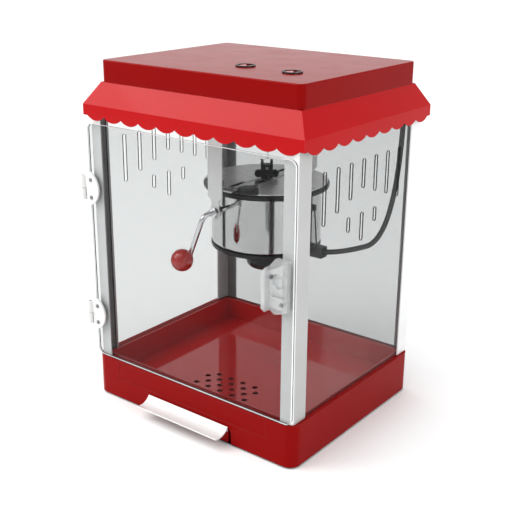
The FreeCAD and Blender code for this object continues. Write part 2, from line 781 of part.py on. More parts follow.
def latch_tab():
    angle = radians(latch_angle)
    toward = Vector(sin(angle), -cos(angle), 0)
    center = axis_top + toward * (rim_radius + 1.5)
    block = box(-3.5, 3.5, -3, 1.5, rim_low - 6, rim_top + 1.5)
    block.rotate(Vector(0, 0, 0), Vector(0, 0, 1), latch_angle)
    block.translate(Vector(center.x, center.y, 0))
    return block.cut(disc(0, kettle_y, rim_low - 10, rim_top + 5, rim_radius))


def kettle_plug():
    body = box(plug_start - 6, plug_end, plug_y - 6.5, plug_y + 6.5, plug_z - 7, plug_z + 6)
    around = disc(0, kettle_y, plug_z - 20, plug_z + 20, kettle_radius + 0.5)
    bore = rod(cable_points[0], cable_points[1], cable_radius)
    return without(body, [around, bore])


def kettle_lead():
    top = Vector(kettle_radius + 2.0, plug_y - 1, rim_low - 18)
    low = Vector(plug_start + 6.0, plug_y - 1, plug_z + 6)
    clip = box(kettle_radius - 3, kettle_radius + 3.2, plug_y - 3, plug_y + 1, rim_low - 21, rim_low - 14)
    clip = clip.cut(disc(0, kettle_y, 100, 300, kettle_radius))
    return fused([rod(top, low, 0.9), clip])


# ---- Heater cable, from the kettle's plug up to the ceiling -----------------------------------
def heater_cable():
    return bent_rod(cable_points, cable_fillets, cable_radius)


def cable_gland():
    x, y = cable_top_x, cable_top_y
    flange = disc(x, y, ceiling_low - 2.5, ceiling_low, cable_radius + 4)
    sleeve = disc(x, y, ceiling_low, ceiling_top + 3, cable_radius + 1.6)
    bore = disc(x, y, ceiling_low - 20, ceiling_top + 20, cable_radius)
    return fused([flange, sleeve]).cut(bore)


# ---- Stirring -------------------------------------------------------------------------------
def stir_shaft():
    stem = disc(0, kettle_y, stirrer_low, coupling_low + 4, shaft_radius)
    floor = kettle_low + kettle_wall
    blade = box(-stirrer_reach, stirrer_reach, kettle_y - 1, kettle_y + 1, floor + 1, floor + 7)
    return fused([stem, blade])


def turned_to_coupling(shape):
    shape = shape.copy()
    shape.rotate(Vector(0, kettle_y, 0), Vector(0, 0, 1), coupling_turn)
    return shape


def wing_coupling():
    y = kettle_y
    block = box(-7.5, 7.5, y - 5, y + 5, coupling_low + 0.8, coupling_high)
    notch = box(-4.2, 4.2, y - 6, y + 6, coupling_high - 5, coupling_high + 1)
    middle = coupling_low + wing_middle
    center = wing_half - wing_radius
    wings = []
    for side in (-1, 1):
        wings.append(rod(Vector(side * center, y - 3, middle), Vector(side * center, y + 3, middle),
                         wing_radius))
        wings.append(box(*sorted((side * 6.5, side * center)), y - 3, y + 3, middle - 3, middle + 3))
    skirt = disc(0, y, coupling_low + 0.4, coupling_low + 6, 6)
    bore = disc(0, y, coupling_low - 5, coupling_low + 4, shaft_radius)
    set_hole = rod(Vector(0, y - 6, coupling_high - 9.5), Vector(0, y - 2, coupling_high - 9.5), 2.0)
    return turned_to_coupling(without(fused([block, skirt] + wings), [notch, bore, set_hole]))


def set_screw():
    y = kettle_y
    body = rod(Vector(0, y - 5.6, coupling_high - 9.5), Vector(0, y - 2, coupling_high - 9.5), 2.0)
    socket = rod(Vector(0, y - 6, coupling_high - 9.5), Vector(0, y - 4.4, coupling_high - 9.5), 0.9)
    return turned_to_coupling(body.cut(socket))


def with_flat(shape, flat):
    return shape.cut(box(flat, flat + 10, kettle_y - 10, kettle_y + 10, 0, roof_height))


def drive_shaft():
    stem = with_flat(disc(0, kettle_y, coupling_high + 1, shaft_top, shaft_radius), drive_flat)
    tongue = box(-2.4, 2.4, kettle_y - 4.5, kettle_y + 4.5, coupling_high - 1, tongue_top)
    return fused([stem, turned_to_coupling(tongue)])


def drive_sleeve():
    over_gearbox = ceiling_top + gearbox_height
    tube = disc(0, kettle_y, sleeve_low, sleeve_top, sleeve_radius)
    collar = disc(0, kettle_y, over_gearbox + seat_gap, over_gearbox + 4, sleeve_radius + 2.5)
    bore = disc(0, kettle_y, sleeve_low - 1, sleeve_top + 1, shaft_radius + bearing_clearance)
    return fused([tube, collar]).cut(with_flat(bore, drive_flat + bearing_clearance))


def gearbox():
    body = box(-gearbox_half, gearbox_half, kettle_y - gearbox_front, kettle_y + gearbox_rear,
               ceiling_top, ceiling_top + gearbox_height)
    return body.cut(disc(0, kettle_y, ceiling_top - 5, ceiling_top + gearbox_height + 5,
                         sleeve_radius + bearing_clearance))


def stir_motor():
    y = kettle_y + motor_offset
    low = ceiling_top + gearbox_height
    return fused([disc(0, y, low, low + 26, motor_radius), disc(0, y, low + 26, low + 29, motor_radius / 2)])


def motor_bracket():
    """A strap over the gearbox, between the sleeve and the motor, with a foot each side."""
    y0 = kettle_y + sleeve_radius + 4
    y1 = kettle_y + motor_offset - motor_radius - 2
    outer = gearbox_half + sheet
    top = ceiling_top + gearbox_height
    strap = box(-outer, outer, y0, y1, ceiling_top, top + sheet)
    feet = box(-outer - 9, outer + 9, y0, y1, ceiling_top, ceiling_top + sheet)
    return fused([strap, feet]).cut(box(-gearbox_half, gearbox_half, y0 - 1, y1 + 1, ceiling_top - 1, top))


def lamp_holder():
    shoulder = ceiling_top + 12
    skirt = ring(lamp_x, lamp_y, ceiling_top, shoulder, lamp_holder_radius, lamp_holder_radius - 1.5)
    return fused([disc(lamp_x, lamp_y, shoulder, shoulder + 22, lamp_holder_radius), skirt])


def lamp_bulb():
    middle = Vector(lamp_x, lamp_y, ceiling_top + 2)
    low = middle - Vector(0, 0, lamp_radius)
    side = middle + Vector(lamp_radius, 0, 0)
    neck = 4.5
    shoulder = middle + Vector(neck, 0, (lamp_radius ** 2 - neck ** 2) ** 0.5)
    top = Vector(lamp_x + neck, lamp_y, ceiling_top + 12)
    axis_end = Vector(lamp_x, lamp_y, ceiling_top + 12)
    outline = Part.Wire([Part.Arc(low, side, shoulder).toShape(),
                         Part.LineSegment(shoulder, top).toShape(),
                         Part.LineSegment(top, axis_end).toShape(),
                         Part.LineSegment(axis_end, low).toShape()])
    return Part.Face(outline).revolve(middle, Vector(0, 0, 1), 360)


# ---- Writing the nodes ------------------------------------------------------------------------
os.makedirs("parts", exist_ok=True)

save("base_housing", base_housing())
save("pan_walls", pan_walls())
save("perforated_floor", perforated_floor())
save("rubber_feet", rubber_feet())
save("drawer_rails", group([drawer_rail(-1), drawer_rail(1)]))
save("drawer_tray", drawer_tray())
save("drawer_pull", drawer_pull())
for side_name, side in (("left", -1), ("right", 1)):
    save("post_front_" + side_name, post(side, True))
    save("post_rear_" + side_name, post(side, False))
    save("side_panel_" + side_name, side_panel(side))
save("rear_panel", rear_panel())
save("gaskets", group([gasket(-1), gasket(1)]))
save("ceiling_plate", ceiling_plate())
save("awning", awning())
save("roof_cap", roof_cap())
save("switch_bezels", group([bezel(x, y) for x, y in switch_spots]))
save("rocker_heat", rocker(*switch_spots[0]))
save("rocker_light", rocker(*switch_spots[1]))

save("door_panel", door_panel())
save("hinge_leaves_door", group([door_leaf(z) for z in hinge_heights]))
save("hinge_leaves_fixed", group([fixed_leaf(z) for z in hinge_heights]))
save("hinge_pins", group([hinge_pin(z) for z in hinge_heights]))
save("door_handle", door_handle())
save("door_screws", group(
    [screw(x, door_front - hinge_plate_thickness, z, hinge_plate_thickness + screw_bite)
     for x, z in hinge_screw_spots]
    + [screw(x, door_front - handle_thickness, z, handle_thickness + screw_bite)
       for x, z in handle_screw_spots]))
save("strike_plate", box(half_cabinet - 4.5, half_cabinet - 0.2, cabinet_front - 0.7, cabinet_front,
                         strike_low, strike_high))

save("kettle_pot", kettle_pot())
save("rim_collar", rim_collar())
save("bottom_cover", bottom_cover())
save("heater_plate", heater_plate())
save("hub_bearing", hub_bearing())
save("crank_rod", crank_rod())
save("crank_ball", crank_ball())
save("rear_pivot", rear_pivot())
save("pivot_nuts", group([pivot_nut(hanger_front_y - 4.8, hanger_front_y - seat_gap),
                          pivot_nut(hanger_front_y + hanger_thickness + seat_gap, hanger_front_y + 7.0),
                          pivot_nut(hanger_rear_y - 5.0, hanger_rear_y - seat_gap)]))
save("hanger_front", hanger(hanger_front_y))
save("hanger_rear", hanger(hanger_rear_y))
save("lid_bridge", lid_bridge())
save("lid_pins", group([lid_pin(-1), lid_pin(1)]))
save("lid_left", half_lid(-1))
save("lid_right", half_lid(1))
save("lid_tab_left", lid_tab(-1, lid_tab_angles[0]))
save("lid_tab_right", lid_tab(1, lid_tab_angles[1]))
save("latch_tab", latch_tab())
save("kettle_plug", group([kettle_plug(), kettle_lead()]))
save("heater_cable", heater_cable())
save("cable_gland", cable_gland())

save("stir_shaft", stir_shaft())
save("wing_coupling", wing_coupling())
save("set_screw", set_screw())
save("drive_shaft", drive_shaft())
save("drive_sleeve", drive_sleeve())
save("gearbox", gearbox())
save("stir_motor", stir_motor())
save("motor_bracket", motor_bracket())
save("lamp_holder", lamp_holder())
save("lamp_bulb", lamp_bulb())
save("mains_gland", mains_gland(base_rear - sheet - 6, base_rear + 3))
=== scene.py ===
import json
import math

import bmesh
import bpy
from mathutils import Matrix, Vector


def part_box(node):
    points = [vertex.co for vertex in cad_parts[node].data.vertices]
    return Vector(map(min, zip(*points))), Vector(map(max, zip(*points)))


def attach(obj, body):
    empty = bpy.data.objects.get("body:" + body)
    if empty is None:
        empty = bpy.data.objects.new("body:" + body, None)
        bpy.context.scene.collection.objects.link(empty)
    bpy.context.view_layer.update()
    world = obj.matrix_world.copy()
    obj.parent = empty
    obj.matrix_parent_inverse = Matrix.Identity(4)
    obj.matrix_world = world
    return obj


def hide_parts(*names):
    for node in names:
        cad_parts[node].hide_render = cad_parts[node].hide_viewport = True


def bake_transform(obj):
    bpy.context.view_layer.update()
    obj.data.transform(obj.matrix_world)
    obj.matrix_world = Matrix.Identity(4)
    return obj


bl_info = {
    "name": "Popcorn Maker",
    "version": (1, 0, 0),
    "blender": (4, 5, 0),
    "location": "3D View > Sidebar > Popcorn Maker",
    "description": "Builds the finished look of a tabletop popcorn maker on its fixed frame",
    "category": "Add Mesh",
}

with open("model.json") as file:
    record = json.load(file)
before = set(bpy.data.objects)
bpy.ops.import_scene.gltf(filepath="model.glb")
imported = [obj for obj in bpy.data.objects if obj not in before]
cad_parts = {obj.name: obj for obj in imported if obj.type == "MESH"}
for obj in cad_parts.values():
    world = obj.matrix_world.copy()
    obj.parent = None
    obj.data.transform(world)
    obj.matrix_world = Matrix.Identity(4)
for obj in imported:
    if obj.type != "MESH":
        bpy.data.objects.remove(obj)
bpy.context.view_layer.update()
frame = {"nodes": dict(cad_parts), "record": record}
body_of_node = {node: body for body, nodes in frame["record"]["behaviour"]["bodies"].items()
                for node in nodes}
slot_of_node = {part["node"]: part["material_slot"] for part in frame["record"]["subparts"]}


# ---- Settings a user would change ------------------------------------------------------------
def colour(name, description, default):
    return bpy.props.FloatVectorProperty(name=name, description=description, subtype="COLOR", size=3,
                                         min=0.0, max=1.0, default=default)


def length(name, description, default):
    return bpy.props.FloatProperty(name=name, description=description, default=default, min=0.0,
                                   unit="LENGTH", precision=5)


class PopcornColours(bpy.types.PropertyGroup):
    paint: colour("Cabinet paint", "Gloss red on the base, awning and roof", (0.25, 0.0002, 0.0003))
    # Painted light: the awning colour is a lighter copy of the cabinet paint, standing in for the extra
    # light its sloping faces catch.
    awning: colour("Awning", "Brighter gloss red on the awning", (0.42, 0.0005, 0.003))
    # Partly painted light: the pan's own red, lightened to stand in for the whitish light it reflects.
    pan: colour("Pan paint", "Red inside the base", (0.48, 0.003, 0.004))
    frame_grey: colour("Frame", "Satin light grey on the posts", (0.46, 0.465, 0.46))
    white: colour("White plastic", "Hinges and drawer pull", (0.68, 0.68, 0.675))
    black: colour("Black plastic", "Collar, hub, coupling and bezels", (0.012, 0.012, 0.013))
    knob: colour("Knob and rockers", "Red moulded plastic", (0.44, 0.010, 0.006))
    steel: colour("Polished steel", "Kettle, crank and lids", (0.58, 0.58, 0.58))
    floor: colour("Stage", "The surface the machine stands on", (0.90, 0.90, 0.90))


class PopcornSizes(bpy.types.PropertyGroup):
    edge: length("Sheet edge", "Rounding on folded sheet edges", 0.0007)
    moulding_edge: length("Moulding edge", "Rounding on plastic mouldings", 0.0006)
    cable: length("Heater cable", "Diameter of the heater cable", 0.0064)
    turns: bpy.props.IntProperty(name="Turned steps", description="Steps round a turned piece",
                                 default=96, min=24, max=256)


# ---- Shared surface effects -------------------------------------------------------------------
def new_group(name, inputs, outputs):
    group = bpy.data.node_groups.new(name, "ShaderNodeTree")
    for label, kind, default in inputs:
        socket = group.interface.new_socket(name=label, in_out="INPUT", socket_type=kind)
        socket.default_value = default
    for label, kind in outputs:
        group.interface.new_socket(name=label, in_out="OUTPUT", socket_type=kind)
    return group, group.nodes.new("NodeGroupInput"), group.nodes.new("NodeGroupOutput")


def noise(tree, vector, scale, detail=3.0, roughness=0.5):
    node = tree.nodes.new("ShaderNodeTexNoise")
    node.inputs["Detail"].default_value = detail
    node.inputs["Roughness"].default_value = roughness
    tree.links.new(vector, node.inputs["Vector"])
    if isinstance(scale, (int, float)):
        node.inputs["Scale"].default_value = scale
    else:
        tree.links.new(scale, node.inputs["Scale"])
    return node.outputs["Fac"]


def remap(tree, value, low, high, from_low=0.3, from_high=0.7):
    node = tree.nodes.new("ShaderNodeMapRange")
    node.inputs["From Min"].default_value = from_low
    node.inputs["From Max"].default_value = from_high
    tree.links.new(value, node.inputs["Value"])
    for label, end in (("To Min", low), ("To Max", high)):
        if isinstance(end, (int, float)):
            node.inputs[label].default_value = end
        else:
            tree.links.new(end, node.inputs[label])
    return node.outputs["Result"]


def smudge_group():
    """Roughness that drifts between two values, as handled or wiped surfaces have."""
    group, given, out = new_group("Handling Smudges", [
        ("Vector", "NodeSocketVector", (0, 0, 0)), ("Scale", "NodeSocketFloat", 30.0),
        ("Low", "NodeSocketFloat", 0.2), ("High", "NodeSocketFloat", 0.4)],
        [("Roughness", "NodeSocketFloat")])
    broad = noise(group, given.outputs["Vector"], given.outputs["Scale"], 5.0, 0.6)
    roughness = remap(group, broad, given.outputs["Low"], given.outputs["High"])
    group.links.new(roughness, out.inputs["Roughness"])
    return group


def tint_group():
    """A colour that drifts a little darker in broad patches, with a painted highlight that lightens it
    toward grey along edges.
    """
    group, given, out = new_group("Drifting Tint and Painted Highlight", [
        ("Vector", "NodeSocketVector", (0, 0, 0)), ("Color", "NodeSocketColor", (0.5, 0.5, 0.5, 1)),
        ("Scale", "NodeSocketFloat", 12.0), ("Amount", "NodeSocketFloat", 0.1),
        ("Painted Edge Highlight", "NodeSocketFloat", 0.2)], [("Color", "NodeSocketColor")])
    patches = remap(group, noise(group, given.outputs["Vector"], given.outputs["Scale"]), 0.0,
                    given.outputs["Amount"])
    darker = group.nodes.new("ShaderNodeMix")
    darker.data_type = "RGBA"
    darker.inputs["B"].default_value = (0.0, 0.0, 0.0, 1.0)
    group.links.new(patches, darker.inputs["Factor"])
    group.links.new(given.outputs["Color"], darker.inputs["A"])
    # Painted highlight: the colour is lightened toward grey wherever the bevel normal turns away from the
    # face normal, along every edge.
    bevel = group.nodes.new("ShaderNodeBevel")
    bevel.samples = 4
    bevel.inputs["Radius"].default_value = 0.0012
    geometry = group.nodes.new("ShaderNodeNewGeometry")
    turn = group.nodes.new("ShaderNodeVectorMath")
    turn.operation = "DOT_PRODUCT"
    group.links.new(bevel.outputs["Normal"], turn.inputs[0])
    group.links.new(geometry.outputs["Normal"], turn.inputs[1])
    edge = group.nodes.new("ShaderNodeMapRange")
    edge.inputs["From Min"].default_value = 0.995
    edge.inputs["From Max"].default_value = 0.85
    group.links.new(turn.outputs["Value"], edge.inputs["Value"])
    group.links.new(given.outputs["Painted Edge Highlight"], edge.inputs["To Max"])
    painted_highlight_mix = group.nodes.new("ShaderNodeMix")
    painted_highlight_mix.data_type = "RGBA"
    painted_highlight_mix.inputs["B"].default_value = (0.8, 0.8, 0.8, 1.0)
    group.links.new(edge.outputs["Result"], painted_highlight_mix.inputs["Factor"])
    group.links.new(darker.outputs["Result"], painted_highlight_mix.inputs["A"])
    group.links.new(painted_highlight_mix.outputs["Result"], out.inputs["Color"])
    return group


def grain_group():
    """The fine relief of sprayed paint or moulded plastic."""
    group, given, out = new_group("Fine Relief", [
        ("Vector", "NodeSocketVector", (0, 0, 0)), ("Scale", "NodeSocketFloat", 400.0)],
        [("Height", "NodeSocketFloat")])
    grain = noise(group, given.outputs["Vector"], given.outputs["Scale"], 2.0)
    group.links.new(grain, out.inputs["Height"])
    return group


def brushed_group():
    """Drawn lines: noise stretched along one direction of the piece."""
    group, given, out = new_group("Drawn Lines", [
        ("Vector", "NodeSocketVector", (0, 0, 0)), ("Stretch", "NodeSocketVector", (1, 1, 20)),
        ("Scale", "NodeSocketFloat", 60.0), ("Low", "NodeSocketFloat", 0.1),
        ("High", "NodeSocketFloat", 0.2)],
        [("Height", "NodeSocketFloat"), ("Roughness", "NodeSocketFloat")])
    stretched = group.nodes.new("ShaderNodeVectorMath")
    stretched.operation = "MULTIPLY"
    group.links.new(given.outputs["Vector"], stretched.inputs[0])
    group.links.new(given.outputs["Stretch"], stretched.inputs[1])
    lines = noise(group, stretched.outputs["Vector"], given.outputs["Scale"], 4.0, 0.7)
    group.links.new(lines, out.inputs["Height"])
    roughness = remap(group, lines, given.outputs["Low"], given.outputs["High"])
    group.links.new(roughness, out.inputs["Roughness"])
    return group


def place(tree, name, values):
    """One shared group in a material, with its own values and the piece's own coordinates."""
    makers = {"Handling Smudges": smudge_group, "Drifting Tint and Painted Highlight": tint_group, "Fine Relief": grain_group,
              "Drawn Lines": brushed_group}
    node = tree.nodes.new("ShaderNodeGroup")
    node.node_tree = bpy.data.node_groups.get(name) or makers[name]()
    for label, value in values.items():
        node.inputs[label].default_value = value
    coordinates = tree.nodes.get("Piece") or tree.nodes.new("ShaderNodeTexCoord")
    coordinates.name = "Piece"
    tree.links.new(coordinates.outputs["Object"], node.inputs["Vector"])
    return node


def surface(name, base, smooth, matt, patch_scale=14.0, patch=0.08, edge=0.0, smudge_scale=28.0,
            relief=0.0, relief_scale=420.0, drawn=None, **constants):
    """A procedural finish. smooth and matt are its lowest and highest roughness; edge is the strength of a
    painted highlight that lightens the colour along the piece's edges.
    """
    made = bpy.data.materials.get(name)
    if made:
        return made
    made = bpy.data.materials.new(name)
    made.use_nodes = True
    made.diffuse_color = (*base, 1.0)
    tree = made.node_tree
    shader = tree.nodes["Principled BSDF"]
    for label, value in constants.items():
        shader.inputs[label.replace("_", " ")].default_value = value
    tint = place(tree, "Drifting Tint and Painted Highlight", {"Color": (*base, 1.0), "Scale": patch_scale, "Amount": patch,
                                         "Painted Edge Highlight": edge})
    tree.links.new(tint.outputs["Color"], shader.inputs["Base Color"])
    if drawn:
        lines = place(tree, "Drawn Lines", {"Stretch": drawn, "Low": smooth, "High": matt})
        tree.links.new(lines.outputs["Roughness"], shader.inputs["Roughness"])
        height = lines.outputs["Height"]
    else:
        wiped = place(tree, "Handling Smudges", {"Scale": smudge_scale, "Low": smooth, "High": matt})
        tree.links.new(wiped.outputs["Roughness"], shader.inputs["Roughness"])
        height = place(tree, "Fine Relief", {"Scale": relief_scale}).outputs["Height"]
    if relief:
        bump = tree.nodes.new("ShaderNodeBump")
        bump.inputs["Strength"].default_value = relief
        bump.inputs["Distance"].default_value = 0.0004
        tree.links.new(height, bump.inputs["Height"])
        tree.links.new(bump.outputs["Normal"], shader.inputs["Normal"])
    return made


def clear(name, tint, haze, haze_colour, smooth, matt, ripple=0.0, ripple_scale=60.0, rim=None):
    """Clear sheet or moulding: see-through, mirrored by angle, with a faint milky haze.

    rim is a painted shade: the see-through tint it gives where the surface turns away darkens the curved
    edges of a moulding.
    """
    made = bpy.data.materials.get(name)
    if made:
        return made
    made = bpy.data.materials.new(name)
    made.use_nodes = True
    tree = made.node_tree
    shader = tree.nodes["Principled BSDF"]
    shader.inputs["Base Color"].default_value = (*haze_colour, 1.0)
    shader.inputs["IOR"].default_value = 1.49
    shader.inputs["Specular IOR Level"].default_value = 0.5
    wiped = place(tree, "Handling Smudges", {"Scale": 9.0, "Low": smooth, "High": matt})
    tree.links.new(wiped.outputs["Roughness"], shader.inputs["Roughness"])
    see_through = tree.nodes.new("ShaderNodeBsdfTransparent")
    see_through.inputs["Color"].default_value = (*tint, 1.0)
    facing = tree.nodes.new("ShaderNodeLayerWeight")
    facing.inputs["Blend"].default_value = 0.5
    if rim:
        rim_shade_mix = tree.nodes.new("ShaderNodeMix")
        rim_shade_mix.data_type = "RGBA"
        rim_shade_mix.inputs["A"].default_value = (*tint, 1.0)
        rim_shade_mix.inputs["B"].default_value = (*rim, 1.0)
        tree.links.new(facing.outputs["Facing"], rim_shade_mix.inputs["Factor"])
        tree.links.new(rim_shade_mix.outputs["Result"], see_through.inputs["Color"])
    steep = tree.nodes.new("ShaderNodeMath")
    steep.operation = "POWER"
    steep.inputs[1].default_value = 5.0
    tree.links.new(facing.outputs["Facing"], steep.inputs[0])
    film = place(tree, "Handling Smudges", {"Scale": 5.0, "Low": haze * 0.7, "High": haze * 1.3})
    cover = tree.nodes.new("ShaderNodeMath")
    cover.operation = "MULTIPLY_ADD"
    cover.use_clamp = True
    cover.inputs[1].default_value = 0.8
    tree.links.new(steep.outputs["Value"], cover.inputs[0])
    tree.links.new(film.outputs["Roughness"], cover.inputs[2])
    if ripple:
        height = place(tree, "Fine Relief", {"Scale": ripple_scale}).outputs["Height"]
        bump = tree.nodes.new("ShaderNodeBump")
        bump.inputs["Strength"].default_value = ripple
        bump.inputs["Distance"].default_value = 0.002
        tree.links.new(height, bump.inputs["Height"])
        tree.links.new(bump.outputs["Normal"], shader.inputs["Normal"])
        tree.links.new(bump.outputs["Normal"], facing.inputs["Normal"])
    mix = tree.nodes.new("ShaderNodeMixShader")
    tree.links.new(cover.outputs["Value"], mix.inputs["Fac"])
    tree.links.new(see_through.outputs["BSDF"], mix.inputs[1])
    tree.links.new(shader.outputs["BSDF"], mix.inputs[2])
    tree.links.new(mix.outputs["Shader"], tree.nodes["Material Output"].inputs["Surface"])
    return made


# ---- The machine's finishes ---------------------------------------------------------------------
# A finish is never named like a slot of the frame: that name belongs to the frame's flat material.
def colours():
    return bpy.context.scene.popcorn_colours


def sizes():
    return bpy.context.scene.popcorn_sizes


def gloss_red():
    return surface("gloss_red", colours().paint, 0.12, 0.20, edge=0.04, patch=0.05, relief=0.04,
                   relief_scale=700.0, Specular_IOR_Level=0.07, Coat_Weight=0.10, Coat_Roughness=0.03)


# Painted light: a lighter copy of the cabinet red for the awning.
def awning_red_lit():
    return surface("awning_red_lit", colours().awning, 0.10, 0.16, edge=0.04, patch=0.05, relief=0.04,
                   relief_scale=700.0, Specular_IOR_Level=0.07, Coat_Weight=0.25, Coat_Roughness=0.05)


# Partly painted light: the pan's red is lightened to stand in for reflected light; its gloss coat reflects
# for real.
def pan_red_lit():
    return surface("pan_red_lit", colours().pan, 0.05, 0.12, edge=0.10, patch=0.10, relief=0.03,
                   Coat_Weight=0.8, Coat_Roughness=0.03)


def satin_grey():
    return surface("satin_grey", colours().frame_grey, 0.30, 0.42, edge=0.10, patch=0.05, relief=0.08,
                   relief_scale=900.0, Metallic=0.15)


# Painted light: a lighter copy of the frame grey for the rear posts, standing in for the light they
# reflect; the gloss coat reflects for real.
def polished_grey_lit():
    return surface("polished_grey_lit", (0.80, 0.805, 0.805), 0.14, 0.24, patch=0.10, relief=0.05,
                   drawn=(14.0, 14.0, 1.0), Metallic=0.0, Coat_Weight=0.6, Coat_Roughness=0.06)


def gloss_white():
    return surface("gloss_white", colours().white, 0.14, 0.24, patch=0.03, edge=0.05, relief=0.03,
                   Coat_Weight=0.3, Coat_Roughness=0.05)


def satin_white():
    return surface("satin_white", (0.80, 0.80, 0.80), 0.28, 0.40, patch=0.04, relief=0.06)


def black_moulding():
    return surface("black_moulding", colours().black, 0.22, 0.36, patch=0.15, edge=0.02, relief=0.12,
                   relief_scale=1400.0)


def black_rubber():
    return surface("matt_rubber", (0.010, 0.010, 0.011), 0.36, 0.52, patch=0.2, relief=0.15,
                   relief_scale=1800.0)


def knob_red():
    return surface("knob_red", colours().knob, 0.07, 0.14, patch=0.06, relief=0.02, Coat_Weight=1.0,
                   Coat_Roughness=0.03)


def mirror_steel():
    return surface("mirror_steel", colours().steel, 0.06, 0.13, patch=0.12, relief=0.03,
                   relief_scale=120.0, Metallic=1.0)


def brushed_steel():
    return surface("brushed_steel", (0.60, 0.60, 0.60), 0.18, 0.32, patch=0.15, relief=0.10,
                   drawn=(1.0, 14.0, 14.0), Metallic=1.0)


def satin_steel():
    return surface("satin_steel", (0.80, 0.80, 0.80), 0.24, 0.36, patch=0.12, relief=0.08,
                   drawn=(1.0, 14.0, 14.0), Metallic=0.75)


def chrome():
    return surface("chrome", (0.78, 0.78, 0.79), 0.04, 0.09, patch=0.06, relief=0.02, Metallic=1.0)


def screw_steel():
    return surface("screw_steel", (0.30, 0.30, 0.31), 0.22, 0.36, patch=0.25, relief=0.10, Metallic=1.0)


def clear_sheet():
    return clear("clear_sheet", (0.87, 0.875, 0.875), 0.008, (0.72, 0.73, 0.73), 0.02, 0.05)


def clear_side():
    return clear("clear_side", (0.90, 0.905, 0.905), 0.008, (0.72, 0.73, 0.73), 0.02, 0.05)


def clear_back():
    return clear("clear_back", (0.79, 0.795, 0.795), 0.008, (0.66, 0.67, 0.67), 0.02, 0.05)


# Painted highlight: a milky white given to the cut edges of the clear sheets, standing in for the light
# they gather.
def painted_edge_highlight():
    return clear("painted_edge_highlight", (0.92, 0.94, 0.94), 0.75, (0.92, 0.94, 0.94), 0.10, 0.20)


# Painted shade: a near-black given to the slot walls and rounded outlines of the clear sheets, standing in
# for the dark lines they show.
def painted_edge_shade():
    return clear("painted_edge_shade", (0.22, 0.225, 0.23), 0.80, (0.03, 0.031, 0.033), 0.08, 0.16)


def clear_moulding():
    # The rim tint here is a painted shade that darkens the handle's curved edges.
    return clear("rippled_moulding", (0.97, 0.975, 0.975), 0.34, (0.86, 0.87, 0.87), 0.02, 0.07,
                 ripple=1.0, ripple_scale=110.0, rim=(0.35, 0.36, 0.36))


def lamp_glass():
    return surface("lamp_envelope", (0.90, 0.82, 0.62), 0.05, 0.12, patch=0.05, relief=0.01)


finish_of_slot = {
    "red_paint": gloss_red, "red_inner": pan_red_lit, "grey_frame": satin_grey, "clear_acrylic": clear_sheet,
    "clear_moulding": clear_moulding, "white_plastic": gloss_white,
    "black_plastic": black_moulding, "black_rubber": black_rubber, "red_plastic": knob_red,
    "polished_steel": mirror_steel, "steel": screw_steel, "white_paint": satin_white,
    "lamp_glass": lamp_glass,
}


# ---- Ways of making pieces ----------------------------------------------------------------------
def finished(name, shape, nodes, materials, body=None):
    """Turns a bmesh into a piece that stands for CAD nodes and rides with them."""
    mesh = bpy.data.meshes.new(name)
    shape.to_mesh(mesh)
    shape.free()
    mesh.shade_smooth()
    mesh.set_sharp_from_angle(angle=math.radians(32))
    piece = bpy.data.objects.new(name, mesh)
    bpy.context.scene.collection.objects.link(piece)
    for made in materials:
        mesh.materials.append(made)
    even = piece.modifiers.new("even_shading", "WEIGHTED_NORMAL")
    even.keep_sharp = True
    even.weight = 100
    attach(piece, body or body_of_node[nodes[0]])
    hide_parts(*nodes)
    return piece


def node_shape(node):
    """The node's own surface, joined up and with its flat faces whole."""
    shape = bmesh.new()
    shape.from_mesh(frame["nodes"][node].data)
    bmesh.ops.remove_doubles(shape, verts=shape.verts, dist=0.000005)
    bmesh.ops.dissolve_limit(shape, angle_limit=math.radians(0.6), verts=shape.verts, edges=shape.edges,
                             use_dissolve_boundaries=False)
    return shape


def round_edges(shape, width, segments=2, least=30.0, most=180.0, keep=None):
    sharp = [edge for edge in shape.edges
             if len(edge.link_faces) == 2 and least < math.degrees(edge.calc_face_angle(0.0)) < most
             and (keep is None or keep(edge))]
    bmesh.ops.bevel(shape, geom=sharp, offset=width, offset_type="OFFSET", segments=segments, profile=0.5,
                    affect="EDGES", clamp_overlap=True, material=-1)


def softened(node, width, materials=None, segments=2, least=30.0):
    """A node remade with its hard edges rounded, so that they catch the light."""
    shape = node_shape(node)
    round_edges(shape, width, segments, least)
    return finished(node + "_finished", shape, [node], materials or [finish_of_slot[slot_of_node[node]]()])


def seat(shape, low, high, along):
    """Leaves a hair's gap each side of a clear sheet, so that it doesn't lie in its neighbour's face."""
    middle_spot = (low + high) / 2
    along = Vector(along)
    for vertex in shape.verts:
        vertex.co -= along * math.copysign(0.0002, (vertex.co - middle_spot).dot(along))


def kept(node, made=None):
    """A node whose shape stays, given its finish."""
    mesh = frame["nodes"][node].data
    mesh.materials.clear()
    mesh.materials.append(made or finish_of_slot[slot_of_node[node]]())


def spun(profile, centre, steps):
    """A closed profile of (radius, height) turned round an upright axis."""
    shape = bmesh.new()
    corners = [shape.verts.new((centre.x + radius, centre.y, height)) for radius, height in profile]
    rim = [shape.edges.new((corners[i], corners[(i + 1) % len(corners)])) for i in range(len(corners))]
    bmesh.ops.spin(shape, geom=rim, cent=(centre.x, centre.y, 0), axis=(0, 0, 1), dvec=(0, 0, 0),
                   angle=math.tau, steps=steps, use_merge=True)
    bmesh.ops.remove_doubles(shape, verts=shape.verts, dist=0.000005)
    bmesh.ops.recalc_face_normals(shape, faces=shape.faces)
    return shape


def arc(centre_r, centre_z, radius, start, stop, steps):
    """Points of a rounded corner in a turned profile, angles in degrees."""
    turns = [math.radians(start + (stop - start) * i / steps) for i in range(steps + 1)]
    return [(centre_r + radius * math.cos(turn), centre_z + radius * math.sin(turn)) for turn in turns]


